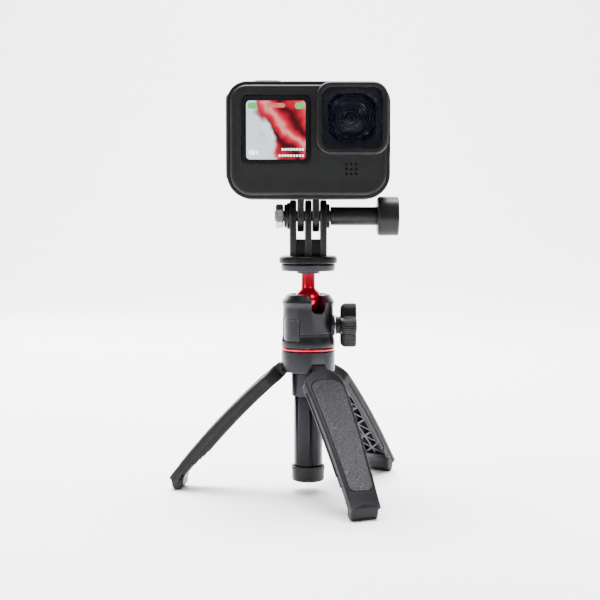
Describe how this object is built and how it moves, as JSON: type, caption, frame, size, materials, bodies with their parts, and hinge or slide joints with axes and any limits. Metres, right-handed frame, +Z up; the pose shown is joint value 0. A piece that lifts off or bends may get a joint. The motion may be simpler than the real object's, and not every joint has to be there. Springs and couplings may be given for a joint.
{
  "type": "action camera on folding mini stand",
  "caption": "Pocket action camera with front and rear screens on a folding mini stand with a ball head, thumb-screw base and telescopic column.",
  "frame": {"origin": "on the ground, under the middle of the object's bounding box", "axes": "+Z up along the column; the camera's lens looks along -Y; +X is to the viewer's right when looking at the lens side"},
  "size_m": [0.1046, 0.1132, 0.1826],
  "materials": {
    "camera_shell": "fine-textured dark grey moulded plastic",
    "soft_black_plastic": "black moulded plastic",
    "button_plastic": "satin dark grey plastic",
    "screen_glass": "black glass display cover",
    "lens_glass": "clear coated glass",
    "mount_plastic": "dark grey moulded nylon",
    "knob_plastic": "black moulded plastic",
    "steel": "bright zinc-plated steel",
    "brass": "turned brass",
    "red_anodised": "red anodised aluminium, polished",
    "black_anodised": "satin black anodised aluminium",
    "tube_black": "gloss black anodised aluminium",
    "leg_plastic": "dark grey glass-filled nylon",
    "grip_pad": "leather-grain soft grip",
    "rubber": "moulded black rubber",
    "battery_wrap": "printed plastic case, left blank",
    "circuit_board": "solder-masked board",
    "speaker_metal": "stamped metal can"
  },
  "bodies": {
    "stand": {"leg_collar": "black_anodised", "accent_ring": "red_anodised", "outer_tube": "tube_black", "column_sleeve": "black_anodised", "column_end_cap": "soft_black_plastic", "leg_left_pin": "steel", "leg_front_pin": "steel", "leg_rear_pin": "steel"},
    "leg_left": {"leg_left": "leg_plastic", "leg_left_grip_pad": "grip_pad", "leg_left_shoe": "rubber"},
    "leg_front": {"leg_front": "leg_plastic", "leg_front_grip_pad": "grip_pad", "leg_front_shoe": "rubber"},
    "leg_rear": {"leg_rear": "leg_plastic", "leg_rear_grip_pad": "grip_pad", "leg_rear_shoe": "rubber"},
    "mast_mid": {"mid_tube": "tube_black"},
    "head": {"inner_tube": "tube_black", "head_housing": "black_anodised", "pressure_cup": "steel"},
    "lock_knob": {"lock_knob": "knob_plastic", "lock_screw": "steel"},
    "ball_liner": {"ball_seat": "soft_black_plastic"},
    "ball_stem": {"ball_stem": "red_anodised", "top_plate": "black_anodised", "plate_pad": "rubber", "plate_stud": "steel"},
    "mount_base": {"mount_base": "mount_plastic", "threaded_insert": "brass", "hex_nut": "steel"},
    "thumb_screw": {"thumb_screw_knob": "knob_plastic", "thumb_screw_bolt": "steel"},
    "camera": {"camera_housing": "camera_shell", "front_cover": "camera_shell", "front_screen": "screen_glass", "rear_screen": "screen_glass", "lens_barrel": "soft_black_plastic", "lens_front_element": "lens_glass", "finger_left": "mount_plastic", "finger_right": "mount_plastic", "finger_pin_left": "steel", "finger_pin_right": "steel", "battery": "battery_wrap", "main_board": "circuit_board", "image_sensor_board": "circuit_board", "speaker": "speaker_metal"},
    "lens_cover": {"lens_cover_frame": "soft_black_plastic", "lens_cover_glass": "lens_glass"},
    "shutter_button": {"shutter_button": "button_plastic"},
    "power_button": {"power_button": "button_plastic"},
    "battery_door": {"battery_door": "camera_shell", "door_seal": "rubber"},
    "door_latch": {"door_latch": "soft_black_plastic"}
  },
  "joints": [
    {"name": "leg_left_fold", "type": "hinge", "parent": "stand", "child": "leg_left", "pos_m": [0.0002, 0.00445, 0.05601], "axis": [-0.1219, -0.9925, 0], "range_deg": [0, 43.3]},
    {"name": "leg_front_fold", "type": "hinge", "parent": "stand", "child": "leg_front", "pos_m": [0.0136, -0.00583, 0.05601], "axis": [0.9272, 0.3746, 0], "range_deg": [0, 43.3]},
    {"name": "leg_rear_fold", "type": "hinge", "parent": "stand", "child": "leg_rear", "pos_m": [0.01583, 0.01108, 0.05601], "axis": [-0.7986, 0.6018, 0], "range_deg": [0, 43.3]},
    {"name": "mast_lower_slide", "type": "slide", "parent": "stand", "child": "mast_mid", "axis": [0, 0, 1], "range_m": [0, 0.038]},
    {"name": "mast_upper_slide", "type": "slide", "parent": "mast_mid", "child": "head", "axis": [0, 0, 1], "range_m": [0, 0.038]},
    {"name": "lock_knob_turn", "type": "hinge", "parent": "head", "child": "lock_knob", "pos_m": [0.02693, 0.00325, 0.07481], "axis": [1, 0, 0], "range_deg": [-180, 180]},
    {"name": "ball_pan", "type": "hinge", "parent": "head", "child": "ball_liner", "pos_m": [0.00993, 0.00325, 0.08621], "axis": [0, 0, 1], "continuous": true},
    {"name": "ball_tilt", "type": "hinge", "parent": "ball_liner", "child": "ball_stem", "pos_m": [0.00993, 0.00325, 0.08621], "axis": [1, 0, 0], "range_deg": [-35, 35]},
    {"name": "base_spin", "type": "hinge", "parent": "ball_stem", "child": "mount_base", "pos_m": [0.00993, 0.00325, 0.10001], "axis": [0, 0, 1], "continuous": true},
    {"name": "thumb_screw_turn", "type": "hinge", "parent": "mount_base", "child": "thumb_screw", "pos_m": [0.03993, 0.00325, 0.12331], "axis": [1, 0, 0], "range_deg": [-180, 180]},
    {"name": "camera_pitch", "type": "hinge", "parent": "mount_base", "child": "camera", "pos_m": [0.00993, 0.00325, 0.12331], "axis": [1, 0, 0], "range_deg": [-90, 90]},
    {"name": "lens_cover_twist", "type": "hinge", "parent": "camera", "child": "lens_cover", "pos_m": [0.02833, -0.01175, 0.16531], "axis": [0, 1, 0], "range_deg": [0, 90]},
    {"name": "shutter_press", "type": "slide", "parent": "camera", "child": "shutter_button", "axis": [0, 0, -1], "range_m": [0, 0.0006], "stiffness_N_per_m": 1500},
    {"name": "power_press", "type": "slide", "parent": "camera", "child": "power_button", "axis": [-1, 0, 0], "range_m": [0, 0.0005], "stiffness_N_per_m": 1500},
    {"name": "battery_door_open", "type": "hinge", "parent": "camera", "child": "battery_door", "pos_m": [-0.02617, 0.00585, 0.17656], "axis": [0, 1, 0], "range_deg": [0, 100]},
    {"name": "door_latch_slide", "type": "slide", "parent": "battery_door", "child": "door_latch", "axis": [0, 0, -1], "range_m": [0, 0.0015], "stiffness_N_per_m": 400}
  ]
}
